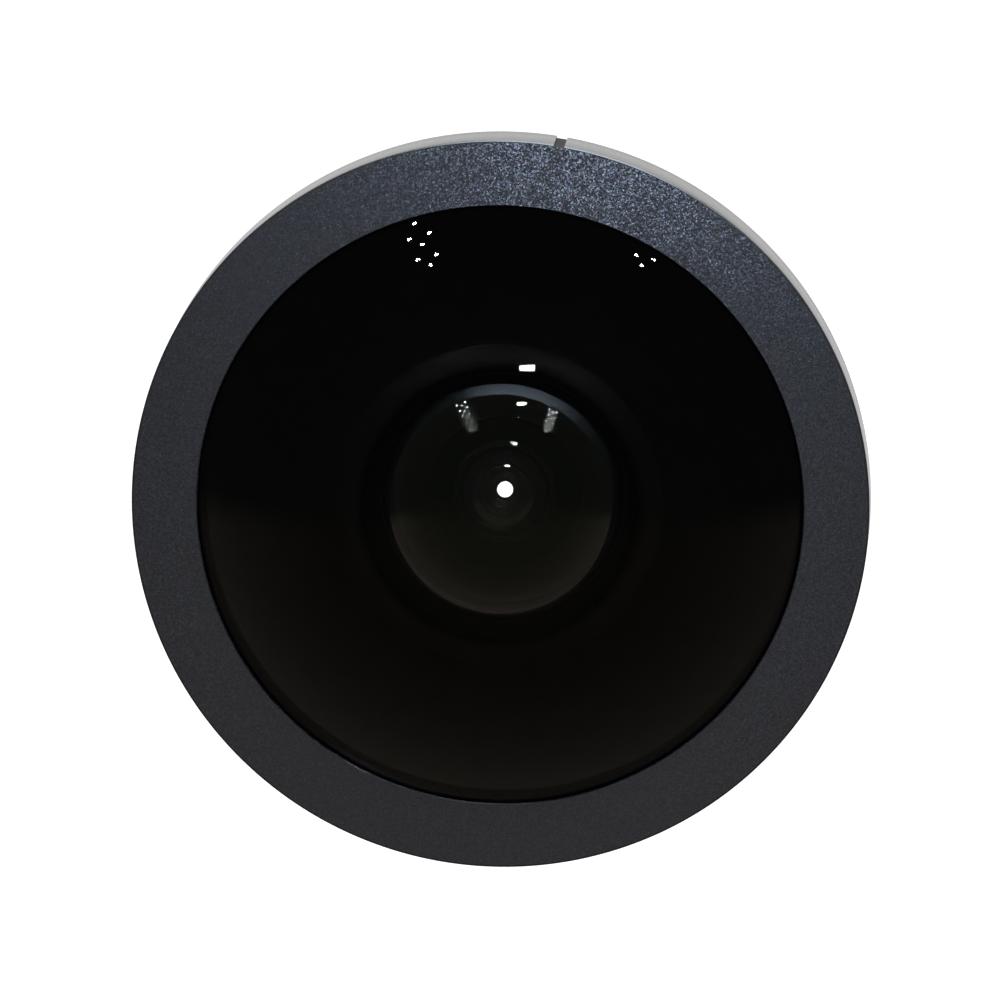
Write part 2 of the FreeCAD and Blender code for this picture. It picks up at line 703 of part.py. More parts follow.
# Barrel: guide tube behind, skirt into the focus ring, widening head, stepped seats for the glass.
def makeLensBarrel():
    back = heightOf(barrelEnd)
    body = startBody("lens_barrel", back)

    def up(depth):
        return barrelEnd - depth

    def ahead(height):
        return height - back

    headSide = up(lipDepth + dim.bezelLength + dim.partingGap)
    headBase = ahead(headBack)
    lensBore = lens1Radius + dim.lensGap
    landSeat = up(lens1Land + dim.seatGap)
    sealFloor = landSeat - dim.sealCord * 2 - dim.seatGap
    sealOut = sealRadius + dim.sealCord + dim.seatGap
    sealIn = sealRadius - dim.sealCord - dim.seatGap
    retainerBore = retainer2Radius + dim.threadGap
    retainerStep = up(lens2Crown + sag(dim.lens2FrontCurve, retainer2Hole))
    seat2 = up(lens2Seat + dim.seatGap)
    seat3 = up(lens3Seat + dim.seatGap)
    seat4 = up(lens4Back - sag(dim.lens4RearCurve, tunnelRadius) + dim.seatGap)
    stopSeat = up(stopDepth - dim.stopThick)
    doubletBore = dim.doubletRadius + dim.lensGap
    rearStep = up(lens6Touch)
    rearBore = lens7Radius + dim.lensGap
    retainerSeat = up(rearRetainerFace - dim.lensGap)
    rearRetainerBore = rearRetainerRadius + dim.threadGap
    revolve(body, [
        corner(rearRetainerBore, 0),
        corner(neckRadius - dim.smallBevel, 0),
        corner(neckRadius, dim.smallBevel),
        corner(neckRadius, dim.neckLength),
        corner(guideTubeRadius - dim.smallBevel, dim.neckLength),
        corner(guideTubeRadius, dim.neckLength + dim.neckTaper),
        corner(guideTubeRadius, ahead(skirtRoof)),
        corner(skirtWallRadius, ahead(skirtRoof)),
        corner(skirtWallRadius, ahead(skirtBack)),
        corner(skirtRadius - dim.smallBevel, ahead(skirtBack)),
        corner(skirtRadius, ahead(skirtBack) + dim.smallBevel),
        corner(skirtRadius, headBase),
        rounded(headBaseRadius, headBase, dim.smallBevel),
        corner(headBaseRadius, headBase + dim.headBaseLength),
        corner(headRadius, headSide - dim.headEdgeLength),
        corner(headRadius, headSide),
        corner(headThreadRadius, headSide),
        corner(headThreadRadius, up(rimDepth)),
        corner(lensBore, up(rimDepth)),
        corner(lensBore, landSeat),
        corner(sealOut, landSeat),
        corner(sealOut, sealFloor),
        corner(sealIn, sealFloor),
        corner(sealIn, landSeat),
        corner(chamberRadius, landSeat),
        corner(retainerBore, landSeat - dim.chamberTaper),
        corner(retainerBore, retainerStep),
        corner(dim.lens2Radius + dim.lensGap, retainerStep),
        corner(dim.lens2Radius + dim.lensGap, seat2),
        corner(lens3Radius + dim.lensGap, seat2),
        corner(lens3Radius + dim.lensGap, seat3),
        corner(lens4Radius + dim.lensGap, seat3),
        corner(lens4Radius + dim.lensGap, seat4),
        corner(tunnelRadius, seat4),
        corner(tunnelRadius, up(lens4Back)),
        corner(stopSeatRadius, stopSeat + dim.stopSeatWall),
        corner(stopSeatRadius, stopSeat),
        corner(doubletBore, stopSeat),
        corner(doubletBore, rearStep),
        corner(rearBore, rearStep),
        corner(rearBore, retainerSeat),
        corner(rearRetainerBore, retainerSeat)])

    slotLength = (focusTravel + dim.guidePinRadius) * 2 + dim.travelSlack
    slot = startSketch(body, "guide_slot_outline", "XY_Plane", ahead(guideScrewHeight) + slotLength / 2)
    halfWidth = dim.guidePinRadius + dim.guideSlotSide
    drawOutline(slot, box(zero - halfWidth, halfWidth,
                          guideTubeRadius - dim.guideSlotDepth, guideTubeRadius + dim.smallBevel))
    cut = pocket(body, slot, "guide_slot", slotLength)
    repeatRound(body, [cut], "guide_slots", dim.guideScrewCount)


# Bezel: threaded cap with a lip that holds the front lens, and a small index notch across its side.
def makeFrontBezel():
    back = lipDepth + dim.bezelLength
    body = startBody("front_bezel", heightOf(back))
    underside = back - rimDepth + dim.lensGap
    clampEdge = back - sag(dim.lens1FrontCurve, lipHoleRadius) + dim.lensGap
    revolve(body, [
        corner(bezelThreadRadius, dim.smallBevel),
        corner(bezelThreadRadius + dim.smallBevel, 0),
        rounded(dim.bezelRadius, 0, dim.smallBevel),
        rounded(dim.bezelRadius, dim.bezelLength - dim.lipDrop, dim.bezelEdge),
        corner(lipHoleRadius + dim.lipInnerEdge, dim.bezelLength),
        corner(lipHoleRadius, dim.bezelLength - dim.lipInnerEdge),
        corner(lipHoleRadius, clampEdge),
        corner(lipClampRadius, underside),
        corner(bezelThreadRadius, underside)])
    notch = startSketch(body, "notch_outline", "XY_Plane", dim.bezelLength, zero - dim.notchAngle)
    drawOutline(notch, box(zero - dim.notchWidth / 2, dim.notchWidth / 2,
                           dim.bezelRadius - dim.notchDepth, dim.bezelRadius + overrun))
    pocket(body, notch, "notch", dim.bezelLength)


# Rubber cord ring under the front lens.
def makeFrontSeal():
    body = startBody("front_seal", heightOf(lens1Land + dim.seatGap + dim.sealCord * 2))
    section = startSketch(body, "front_seal_outline", "XZ_Plane")
    addCircle(section, sealRadius, dim.sealCord, dim.sealCord)
    spin(body, section)


# Front lens: a deep dome, hollow behind, with a flat blackened land round the hollow.
def makeLens1():
    body = startBody("lens_1", heightOf(lens1Land))
    revolve(body, [
        arched(0, lens1Land, dim.lens1FrontCurve, 1),
        corner(lens1Radius, dim.lens1Edge),
        corner(lens1Radius, 0),
        arched(lens1Hollow, 0, dim.lens1RearCurve, -1),
        corner(0, lens1HollowDepth)])


def makeLens2Retainer():
    face = lens2Crown + sag(dim.lens2FrontCurve, retainer2Hole) - dim.seatGap
    body = startBody("lens_2_retainer", heightOf(face))
    revolve(body, [
        corner(retainer2Hole, 0),
        corner(retainer2Radius, 0),
        corner(retainer2Radius, dim.retainer2Thick),
        corner(retainer2Hole + dim.retainer2Thick / 2, dim.retainer2Thick),
        corner(retainer2Hole, dim.retainer2Thick / 2)])
    cutSpannerSlots(body, dim.retainer2Thick, retainer2Radius)


def makeLens2():
    body = startBody("lens_2", heightOf(lens2Seat))
    hollow = sag(dim.lens2RearCurve, lens2Hollow)
    crown = hollow + dim.lens2Thick
    revolve(body, [
        arched(0, crown, dim.lens2FrontCurve, 1),
        corner(dim.lens2Radius, crown - sag(dim.lens2FrontCurve, dim.lens2Radius)),
        corner(dim.lens2Radius, 0),
        arched(lens2Hollow, 0, dim.lens2RearCurve, -1),
        corner(0, hollow)])


# A plain spacer ring that fills the space between two depths, less a small gap at each end.
def makeSpacer(label, frontDepth, length, innerRadius, outerRadius):
    body = startBody(label, heightOf(frontDepth + length - dim.seatGap))
    revolve(body, box(innerRadius, outerRadius, zero, length - dim.seatGap * 2))


def makeLens3():
    body = startBody("lens_3", heightOf(lens3Seat))
    rearHollow = sag(dim.lens3RearCurve, dim.lens3RearHollow)
    face = rearHollow + dim.lens3Thick + sag(dim.lens3FrontCurve, dim.lens3FrontHollow)
    revolve(body, [
        arched(0, rearHollow + dim.lens3Thick, dim.lens3FrontCurve, -1),
        corner(dim.lens3FrontHollow, face),
        corner(lens3Radius, face),
        corner(lens3Radius, 0),
        arched(dim.lens3RearHollow, 0, dim.lens3RearCurve, -1),
        corner(0, rearHollow)])


# A lens bowed outwards on both faces.
def makeConvexLens(label, backDepth, thick, frontCurve, rearCurve, radius):
    body = startBody(label, heightOf(backDepth))
    revolve(body, [
        arched(0, thick, frontCurve, 1),
        corner(radius, thick - sag(frontCurve, radius)),
        arched(radius, sag(rearCurve, radius), rearCurve, 1),
        corner(0, 0)])


# A lens hollow in front and bowed behind, as both halves of the cemented pair are.
def makeHollowFrontLens(label, backDepth, thick, frontCurve, rearCurve, radius):
    body = startBody(label, heightOf(backDepth))
    revolve(body, [
        arched(0, thick, frontCurve, -1),
        corner(radius, thick + sag(frontCurve, radius)),
        arched(radius, sag(rearCurve, radius), rearCurve, 1),
        corner(0, 0)])


def makeApertureStop():
    body = startBody("aperture_stop", heightOf(stopDepth))
    revolve(body, box(dim.stopHoleRadius, dim.doubletRadius, zero, dim.stopThick - dim.seatGap))


# Ring screwed into the rear of the barrel; its spanner slots face the camera's sensor.
def makeRearRetainer():
    body = startBody("rear_retainer", heightOf(rearRetainerFace + dim.rearRetainerThick))
    funnel = dim.smallBevel * 2
    revolve(body, [
        corner(rearRetainerHole + funnel, 0),
        corner(rearRetainerRadius, 0),
        corner(rearRetainerRadius, dim.rearRetainerThick),
        corner(rearRetainerHole, dim.rearRetainerThick),
        corner(rearRetainerHole, funnel)])
    cutSpannerSlots(body, dim.spannerSlotDepth, rearRetainerRadius)


makeMountBase()
makeRingNut()
makeGuideScrews()
makeFocusRing()
makeLockPad()
makeLockScrew()
makeLensBarrel()
makeFrontBezel()
makeFrontSeal()
makeLens1()
makeLens2Retainer()
makeLens2()
makeSpacer("spacer_2_3", lens2Seat, dim.spacer23Length, lens2Hollow + dim.spacer23Inset, lens3Radius)
makeLens3()
makeSpacer("spacer_3_4", lens3Seat, dim.spacer34Length, lens4Radius - dim.spacerWall, lens4Radius)
makeConvexLens("lens_4", lens4Back, dim.lens4Thick, dim.lens4FrontCurve, dim.lens4RearCurve, lens4Radius)
makeApertureStop()
makeSpacer("spacer_stop_5", stopDepth, dim.stopSpacerLength,
           dim.doubletRadius - dim.stopSpacerWall, dim.doubletRadius)
makeHollowFrontLens("lens_5", cementDepth, dim.lens5Thick, dim.lens5FrontCurve, cementCurve,
                    dim.doubletRadius)
makeHollowFrontLens("lens_6", lens6Back, dim.lens6Thick, cementCurve, dim.lens6RearCurve,
                    dim.doubletRadius)
makeSpacer("spacer_6_7", lens6Touch, dim.spacer67Length, spacer67Hole, lens7Radius)
makeConvexLens("lens_7", lens7Back, dim.lens7Thick, dim.lens7FrontCurve, dim.lens7RearCurve, lens7Radius)
makeRearRetainer()

doc.recompute()
faults = ["empty cut " + name for name in emptyCuts]
for item in doc.Objects:
    if "Invalid" in item.State or "Error" in item.State:
        faults.append(item.Name + " " + str(item.State))
for piece in pieces:
    if piece.Shape.isNull() or not piece.Shape.isValid():
        faults.append(piece.Label + " has no valid shape")
if faults:
    raise RuntimeError("; ".join(faults))

os.makedirs("parts", exist_ok=True)
for piece in pieces:
    piece.Shape.exportStep(os.path.join("parts", piece.Label + ".step"))
    print(piece.Label, len(piece.Shape.Solids), round(piece.Shape.Volume, 2))
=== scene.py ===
import json
import math

import bmesh
import bpy
from mathutils import Matrix, Vector

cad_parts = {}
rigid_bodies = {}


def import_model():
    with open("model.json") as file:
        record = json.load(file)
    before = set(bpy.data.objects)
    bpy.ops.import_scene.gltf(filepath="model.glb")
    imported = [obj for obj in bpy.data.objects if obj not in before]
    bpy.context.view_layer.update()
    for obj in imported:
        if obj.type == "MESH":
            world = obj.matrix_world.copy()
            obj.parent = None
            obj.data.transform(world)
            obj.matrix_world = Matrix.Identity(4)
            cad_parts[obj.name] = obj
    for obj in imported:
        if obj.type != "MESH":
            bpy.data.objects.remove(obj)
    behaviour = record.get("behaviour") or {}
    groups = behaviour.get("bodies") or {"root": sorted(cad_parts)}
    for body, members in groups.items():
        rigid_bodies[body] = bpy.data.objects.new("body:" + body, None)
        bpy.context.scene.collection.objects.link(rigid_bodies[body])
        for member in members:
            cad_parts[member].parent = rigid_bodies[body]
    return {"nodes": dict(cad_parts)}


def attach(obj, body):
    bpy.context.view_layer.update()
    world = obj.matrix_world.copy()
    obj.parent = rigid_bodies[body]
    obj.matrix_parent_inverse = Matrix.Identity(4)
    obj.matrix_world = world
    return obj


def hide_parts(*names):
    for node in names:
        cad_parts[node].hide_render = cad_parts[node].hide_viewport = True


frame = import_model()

scene = bpy.context.scene
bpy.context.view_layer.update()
mm = 0.001
crown = 38.08   # height of the front lens's crown above the flange seat
sharpAngle = math.radians(32)   # edges bent by more than this show as sharp
print("stage: frame loaded")


# Shapes are drawn as half sections, radius along X and depth along Y, then turned round the Y axis.
def depthToY(depth):
    return (depth - crown) * mm


def newSection(points):
    bm = bmesh.new()
    corners = [bm.verts.new((radius * mm, depthToY(depth), 0)) for radius, depth in points]
    for first, second in zip(corners, corners[1:] + corners[:1]):
        bm.edges.new((first, second))
    return bm, corners


# rounds one corner of a wire; must come before the section is turned
def roundCorner(bm, corner, radius, steps):
    edges = list(corner.link_edges)
    directions = [(edge.other_vert(corner).co - corner.co).normalized() for edge in edges]
    half = directions[0].angle(directions[1]) / 2
    bmesh.ops.bevel(bm, geom=[corner] + edges, offset=radius * mm * math.sin(half) / math.tan(half),
                    offset_type="OFFSET", segments=steps, profile=0.5, affect="VERTICES",
                    material=-1, clamp_overlap=True)


# a spherical face from the axis out to its rim, which it gives back; bow is 1 where it bulges to
# the front and -1 where it bulges to the rear
def sphereArc(bm, crownDepth, curve, bow, radius, steps):
    start = bm.verts.new((0, depthToY(crownDepth), 0))
    centre = (0, depthToY(crownDepth + bow * curve), 0)
    arc = bmesh.ops.spin(bm, geom=[start], cent=centre, axis=(0, 0, 1), dvec=(0, 0, 0),
                         angle=bow * math.asin(radius / curve), steps=steps,
                         use_merge=False, use_duplicate=False)
    return [item for item in arc["geom_last"] if isinstance(item, bmesh.types.BMVert)][0]


def turnSection(bm, steps):
    bmesh.ops.spin(bm, geom=bm.verts[:] + bm.edges[:], cent=(0, 0, 0), axis=(0, 1, 0), dvec=(0, 0, 0),
                   angle=math.tau, steps=steps, use_merge=True, use_duplicate=False)
    bmesh.ops.remove_doubles(bm, verts=bm.verts, dist=1e-8)
    bmesh.ops.recalc_face_normals(bm, faces=bm.faces)


def finishPiece(bm, name):
    mesh = bpy.data.meshes.new(name)
    bm.to_mesh(mesh)
    bm.free()
    mesh.shade_smooth()
    mesh.set_sharp_from_angle(angle=sharpAngle)
    piece = bpy.data.objects.new(name, mesh)
    scene.collection.objects.link(piece)
    return piece


# Node helpers. A number or tuple is set on an input, another node's output is linked to it.
def feedSocket(tree, socket, value):
    if isinstance(value, (int, float, tuple)):
        socket.default_value = value
    else:
        tree.links.new(value, socket)


def fillInputs(tree, node, values):
    for key, value in values.items():
        feedSocket(tree, node.inputs[key], value)


def addNode(tree, kind, values, **settings):
    node = tree.nodes.new(kind)
    for key, value in settings.items():
        setattr(node, key, value)
    fillInputs(tree, node, values)
    return node.outputs


def addMath(tree, operation, first, second=None, clamp=False):
    values = {0: first} if second is None else {0: first, 1: second}
    return addNode(tree, "ShaderNodeMath", values, operation=operation, use_clamp=clamp)[0]


def addVectorMath(tree, operation, values, output="Vector"):
    return addNode(tree, "ShaderNodeVectorMath", values, operation=operation)[output]


def addRange(tree, value, low, high, toLow, toHigh):
    return addNode(tree, "ShaderNodeMapRange", {"Value": value, "From Min": low, "From Max": high,
                                                "To Min": toLow, "To Max": toHigh})["Result"]


def addMix(tree, factor, first, second):
    node = tree.nodes.new("ShaderNodeMix")
    node.data_type = "RGBA"
    colours = [item for item in node.inputs if item.type == "RGBA"]
    factorSocket = [item for item in node.inputs if item.type == "VALUE"][0]
    for socket, value in ((factorSocket, factor), (colours[0], first), (colours[1], second)):
        feedSocket(tree, socket, value)
    return [item for item in node.outputs if item.type == "RGBA"][0]


# Node groups that the finishes share.
def newGroup(name, inputs, outputs):
    group = bpy.data.node_groups.new(name, "ShaderNodeTree")
    for sockets, side in ((inputs, "INPUT"), (outputs, "OUTPUT")):
        for label, kind in sockets.items():
            group.interface.new_socket(label, in_out=side, socket_type="NodeSocket" + kind)
    entry = group.nodes.new("NodeGroupInput")
    leave = group.nodes.new("NodeGroupOutput")
    return group, entry.outputs, leave


# small cells, each with chance values of its own
def addCells(group, entry):
    cells = addNode(group, "ShaderNodeTexVoronoi", {"Vector": entry["Vector"], "Scale": entry["Grain"]},
                    feature="F1", voronoi_dimensions="3D")
    return cells, addNode(group, "ShaderNodeSeparateColor", {"Color": cells["Color"]})


# anodised grains: many small cells, each its own brightness and tint; the few brightest, tinted cells are
# partly grain tone and partly a painted glint standing in for sparkle
def makeAnodiseGroup():
    group, entry, leave = newGroup(
        "anodise",
        {"Vector": "Vector", "Dark": "Color", "Light": "Color", "Grain": "Float", "GrainAndGlint": "Float"},
        {"Color": "Color"})
    parts = addCells(group, entry)[1]
    coarse = addNode(group, "ShaderNodeTexNoise", {
        "Vector": entry["Vector"], "Scale": addMath(group, "MULTIPLY", entry["Grain"], 0.24),
        "Detail": 3.0, "Roughness": 0.6})
    # a few cells much brighter and tinted: partly grain tone, partly a painted glint
    bright = addMath(group, "POWER", parts["Red"], 3.0)
    level = addMath(group, "MULTIPLY", bright, entry["GrainAndGlint"])
    soft = addRange(group, coarse["Fac"], 0.3, 0.75, 0.0, 0.45)
    mask = addMath(group, "ADD", level, soft, clamp=True)
    tint = addNode(group, "ShaderNodeHueSaturation", {
        "Hue": addRange(group, parts["Green"], 0.0, 1.0, 0.38, 0.66), "Saturation": 1.2, "Value": 1.0,
        "Color": addMix(group, mask, entry["Dark"], entry["Light"])})
    fillInputs(group, leave, {"Color": tint["Color"]})
    return group


# gritty anodise of the bezel: tiny facets, some of them bare and bright, each leaning its own way
def makeFacetGroup():
    group, entry, leave = newGroup(
        "facets",
        {"Vector": "Vector", "Dark": "Color", "Bright": "Color", "Grain": "Float", "Share": "Float",
         "Lean": "Float", "Tilt": "Float", "Scatter": "Float"},
        {"Color": "Color", "Chance": "Float", "Normal": "Vector"})
    cells, parts = addCells(group, entry)
    chance = addNode(group, "ShaderNodeTexWhiteNoise", {"Vector": cells["Position"]}, noise_dimensions="3D")
    facet = addMath(group, "LESS_THAN", chance["Value"], entry["Share"])
    tint = addNode(group, "ShaderNodeHueSaturation", {
        "Hue": addRange(group, parts["Green"], 0.0, 1.0, 0.36, 0.66), "Saturation": 1.0,
        "Value": addRange(group, parts["Blue"], 0.0, 1.0, 0.85, 1.15), "Color": entry["Bright"]})

    # outwards from the optical axis, the way the cutting tool left the facets leaning
    across = addVectorMath(group, "MULTIPLY", {0: entry["Vector"], 1: (1.0, 0.0, 1.0)})
    outward = addVectorMath(group, "NORMALIZE", {0: across})
    swing = addMath(group, "MULTIPLY", addMath(group, "SUBTRACT", parts["Red"], 0.5), entry["Tilt"])
    lean = addVectorMath(group, "SCALE", {0: outward, "Scale": addMath(group, "ADD", swing, entry["Lean"])})
    shift = addVectorMath(group, "SUBTRACT", {0: chance["Color"], 1: (0.5, 0.5, 0.5)})
    scatter = addVectorMath(group, "SCALE", {0: shift, "Scale": entry["Scatter"]})
    facing = addNode(group, "ShaderNodeNewGeometry", {})["Normal"]
    leaned = addVectorMath(group, "ADD", {0: facing, 1: lean})
    scattered = addVectorMath(group, "ADD", {0: leaned, 1: scatter})
    fillInputs(group, leave, {"Color": addMix(group, facet, entry["Dark"], tint["Color"]),
                              "Chance": parts["Blue"],
                              "Normal": addVectorMath(group, "NORMALIZE", {0: scattered})})
    return group


# fine rings left by the lathe, which follow the distance along the optical axis and from it
def makeTurnedGroup():
    group, entry, leave = newGroup("turned", {"Vector": "Vector", "Pitch": "Float"},
                                   {"Rings": "Float", "Cloud": "Float"})
    parts = addNode(group, "ShaderNodeSeparateXYZ", {"Vector": entry["Vector"]})
    away = addMath(group, "SQRT", addMath(
        group, "ADD", addMath(group, "MULTIPLY", parts["X"], parts["X"]),
        addMath(group, "MULTIPLY", parts["Z"], parts["Z"])))
    rings = addNode(group, "ShaderNodeTexNoise", {
        "W": addMath(group, "ADD", parts["Y"], away), "Scale": entry["Pitch"],
        "Detail": 2.0, "Roughness": 0.7}, noise_dimensions="1D")
    cloud = addNode(group, "ShaderNodeTexNoise", {"Vector": entry["Vector"], "Scale": 260.0, "Detail": 4.0})
    fillInputs(group, leave, {"Rings": rings["Fac"], "Cloud": cloud["Fac"]})
    return group


# how worn a spot is: 1 on an exposed edge, broken up by noise
def makeWearGroup():
    group, entry, leave = newGroup("edge wear", {"Vector": "Vector", "Width": "Float", "Amount": "Float"},
                                   {"Mask": "Float"})
    bevel = addNode(group, "ShaderNodeBevel", {"Radius": entry["Width"]}, samples=4)
    facing = addNode(group, "ShaderNodeNewGeometry", {})["Normal"]
    straight = addVectorMath(group, "DOT_PRODUCT", {0: bevel["Normal"], 1: facing}, "Value")
    edge = addRange(group, straight, 0.995, 0.8, 0.0, 1.0)
    breaks = addNode(group, "ShaderNodeTexNoise", {"Vector": entry["Vector"], "Scale": 1400.0,
                                                   "Detail": 4.0, "Roughness": 0.65})
    patch = addRange(group, breaks["Fac"], 0.42, 0.62, 0.0, 1.0)
    worn = addMath(group, "MULTIPLY", addMath(group, "MULTIPLY", edge, patch), entry["Amount"], clamp=True)
    fillInputs(group, leave, {"Mask": worn})
    return group


anodise = makeAnodiseGroup()
facets = makeFacetGroup()
turned = makeTurnedGroup()
edgeWear = makeWearGroup()


def startMaterial(name):
    material = bpy.data.materials.new(name)
    material.use_nodes = True
    tree = material.node_tree
    coords = tree.nodes.new("ShaderNodeTexCoord")
    return material, tree, tree.nodes["Principled BSDF"], coords.outputs["Object"]


def addGroup(tree, group, vector, values):
    node = tree.nodes.new("ShaderNodeGroup")
    node.node_tree = group
    fillInputs(tree, node, {"Vector": vector, **values})
    return node.outputs


def addBump(tree, height, strength, distance):
    return addNode(tree, "ShaderNodeBump", {"Height": height, "Strength": strength,
                                            "Distance": distance})["Normal"]


bareMetal = (0.30, 0.30, 0.31, 1)
wearWidth = 0.0001

faceLook = {"Dark": (0.044, 0.044, 0.050, 1), "Bright": (0.060, 0.068, 0.088, 1), "Grain": 15000.0,
            "Share": 0.6, "Lean": 0.12, "Tilt": 0.65, "Scatter": 0.20}


def makeBezelBlack():
    material, tree, shader, vector = startMaterial("bezelBlack")
    grit = addGroup(tree, facets, vector, faceLook)
    wear = addGroup(tree, edgeWear, vector, {"Width": wearWidth, "Amount": 0.15})
    # the clear sheen shows from outside and in the front glass, not deep through the lenses
    depth = addNode(tree, "ShaderNodeLightPath", {})["Transmission Depth"]
    fillInputs(tree, shader, {
        "Base Color": addMix(tree, wear["Mask"], grit["Color"], bareMetal), "Metallic": 0.92,
        "Roughness": addRange(tree, grit["Chance"], 0, 1, 0.34, 0.48), "Normal": grit["Normal"],
        "Coat Weight": addMath(tree, "LESS_THAN", depth, 1.5), "Coat IOR": 1.6, "Coat Roughness": 0.14})
    return material


# the bezel's turned side wall is smoother than its face and shines at a low angle
def makeBezelSide():
    material, tree, shader, vector = startMaterial("bezelSide")
    lathe = addGroup(tree, turned, vector, {"Pitch": 16000.0})
    grains = addGroup(tree, anodise, vector, {"Dark": (0.012, 0.011, 0.011, 1),
                                              "Light": (0.04, 0.036, 0.034, 1),
                                              "Grain": 9000.0, "GrainAndGlint": 0.2})
    fillInputs(tree, shader, {
        "Base Color": grains["Color"],
        "Roughness": addRange(tree, lathe["Rings"], 0.3, 0.7, 0.20, 0.27),
        "Normal": addBump(tree, lathe["Rings"], 0.08, 0.000005)})
    return material


# dull surfaces: the floor of the index notch, darkened to near black as painted shade in the recess, the
# rubber ring and the paint on the lens edges
dullLooks = {
    # the notch floor is near black and barely shiny: painted shade in the recess
    "notchPaintedShade": {"dark": (0.004, 0.0035, 0.003, 1), "pale": (0.014, 0.012, 0.011, 1),
                 "scale": 5000.0, "detail": 3.0, "rough": (0.6, 0.8), "specular": 0.1,
                 "bump": (0.5, 0.00003)},
    "sealRubber": {"dark": (0.006, 0.006, 0.006, 1), "pale": (0.018, 0.018, 0.018, 1),
                   "scale": 3000.0, "detail": 4.0, "rough": (0.6, 0.8), "specular": 0.5,
                   "bump": (0.4, 0.00003)},
    "lensEdgePaint": {"dark": (0.0028, 0.0022, 0.0018, 1), "pale": (0.006, 0.0045, 0.0035, 1),
                      "scale": 900.0, "detail": 4.0, "rough": (0.55, 0.75), "specular": 0.25,
                      "bump": (0.2, 0.00002)},
}


def makeDull(name):
    look = dullLooks[name]
    material, tree, shader, vector = startMaterial(name)
    cloud = addNode(tree, "ShaderNodeTexNoise", {"Vector": vector, "Scale": look["scale"],
                                                 "Detail": look["detail"]})["Fac"]
    fillInputs(tree, shader, {
        "Base Color": addMix(tree, cloud, look["dark"], look["pale"]),
        "Roughness": addRange(tree, cloud, 0.3, 0.7, *look["rough"]),
        "Specular IOR Level": look["specular"], "Normal": addBump(tree, cloud, *look["bump"])})
    return material


# turned surfaces: black anodised or painted parts, the steel screws and the brass pad
turnedLooks = {
    "barrelBlack": {"dark": (0.010, 0.0105, 0.012, 1), "pale": (0.035, 0.037, 0.043, 1),
                    "rough": 0.42, "wear": 0.35, "bare": bareMetal, "metal": 0.0},
    "ringBlack": {"dark": (0.009, 0.009, 0.010, 1), "pale": (0.030, 0.031, 0.034, 1),
                  "rough": 0.38, "wear": 0.5, "bare": bareMetal, "metal": 0.0},
    "mountBlack": {"dark": (0.011, 0.011, 0.012, 1), "pale": (0.034, 0.034, 0.037, 1),
                   "rough": 0.36, "wear": 0.8, "bare": bareMetal, "metal": 0.0},
    "innerBlack": {"dark": (0.006, 0.006, 0.0065, 1), "pale": (0.016, 0.016, 0.018, 1),
                   "rough": 0.5, "wear": 0.15, "bare": bareMetal, "metal": 0.0},
    "stopBlack": {"dark": (0.005, 0.005, 0.005, 1), "pale": (0.012, 0.012, 0.012, 1),
                  "rough": 0.55, "wear": 0.1, "bare": bareMetal, "metal": 0.0},
    "screwSteel": {"dark": (0.42, 0.42, 0.43, 1), "pale": (0.58, 0.58, 0.59, 1),
                   "rough": 0.3, "wear": 0.3, "bare": (0.75, 0.75, 0.76, 1), "metal": 1.0},
    "padBrass": {"dark": (0.52, 0.36, 0.12, 1), "pale": (0.70, 0.52, 0.22, 1),
                 "rough": 0.32, "wear": 0.3, "bare": (0.80, 0.64, 0.32, 1), "metal": 1.0},
}


def makeTurned(name):
    look = turnedLooks[name]
    material, tree, shader, vector = startMaterial(name)
    lathe = addGroup(tree, turned, vector, {"Pitch": 9000.0})
    grains = addGroup(tree, anodise, vector, {"Dark": look["dark"], "Light": look["pale"],
                                              "Grain": 9000.0, "GrainAndGlint": 0.35})
    wear = addGroup(tree, edgeWear, vector, {"Width": wearWidth, "Amount": look["wear"]})
    cloudy = addMix(tree, addRange(tree, lathe["Cloud"], 0.35, 0.7, 0.0, 0.5), grains["Color"], look["dark"])
    fillInputs(tree, shader, {
        "Base Color": addMix(tree, wear["Mask"], cloudy, look["bare"]), "Metallic": look["metal"],
        "Roughness": addRange(tree, lathe["Rings"], 0.3, 0.7, look["rough"] - 0.08, look["rough"] + 0.1),
        "Normal": addBump(tree, lathe["Rings"], 0.35, 0.00001)})
    return material


# glass with a thin coating, whose weak reflection has a colour of its own
def makeCoatedGlass(name, index, coating):
    material, tree, shader, vector = startMaterial(name)
    haze = addNode(tree, "ShaderNodeTexNoise", {"Vector": vector, "Scale": 420.0, "Detail": 5.0,
                                                "Roughness": 0.7})["Fac"]
    fillInputs(tree, shader, {
        "Transmission Weight": 1.0, "IOR": index, "Specular Tint": coating,
        "Roughness": addRange(tree, haze, 0.66, 0.9, 0.0, 0.02),
        "Base Color": addMix(tree, haze, (0.985, 0.985, 0.975, 1), (1, 1, 1, 1))})
    return material


bezelFinishes = (makeBezelBlack(), makeBezelSide(), makeDull("notchPaintedShade"))
faceSlot, sideSlot, notchSlot = range(3)
nodeFinishes = {name: makeTurned(name) for name in turnedLooks}
nodeFinishes["sealRubber"] = makeDull("sealRubber")
edgePaint = makeDull("lensEdgePaint")
print("stage: finishes made")


# front bezel: lip round the front glass, side wall, inside thread bore and index notch
bezel = {"radius": 20.998, "length": 3.7, "lipDrop": 0.1, "outerRound": 0.18, "rearBevel": 0.2,
         "wallInside": 19.6, "lipHole": 17.25, "lipBevel": 0.06, "front": 7.587,
         "clampDepth": 7.747, "clampRadius": 17.9, "underside": 8.542,
         "notchAngle": 9.2, "notchWidth": 0.6, "notchDepth": 0.148, "steps": 288}


